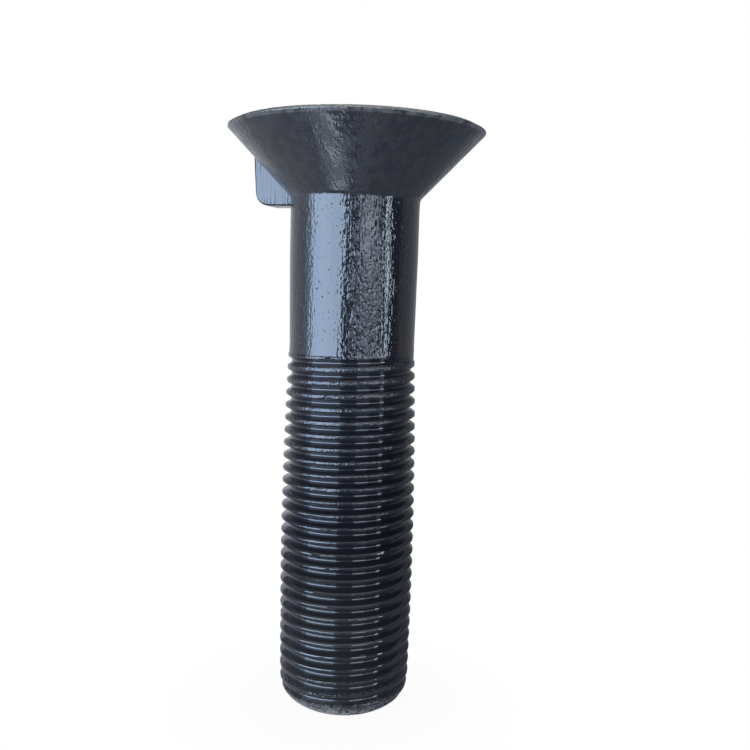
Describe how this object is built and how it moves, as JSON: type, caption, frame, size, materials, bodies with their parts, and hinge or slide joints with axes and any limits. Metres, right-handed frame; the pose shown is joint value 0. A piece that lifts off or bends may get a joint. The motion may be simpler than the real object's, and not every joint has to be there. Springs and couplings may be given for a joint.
{
  "type": "countersunk nib bolt",
  "caption": "Black flat-headed countersunk bolt with an anti-turn nib under the cone, a plain shank and a right-hand rolled thread down to a rounded end.",
  "frame": {"origin": "centre of the flat end of the thread, on the surface that the bolt stands on", "axes": "+Z along the bolt's axis from the thread's end up to the head, -X towards the nib"},
  "size_m": [0.0296, 0.0296, 0.0688],
  "materials": {
    "black_steel": "glossy blue-black oxide on forged and rolled steel, pitted on the shank and dulled on the cone"
  },
  "bodies": {
    "root": {"nib_bolt": "black_steel"}
  },
  "joints": []
}
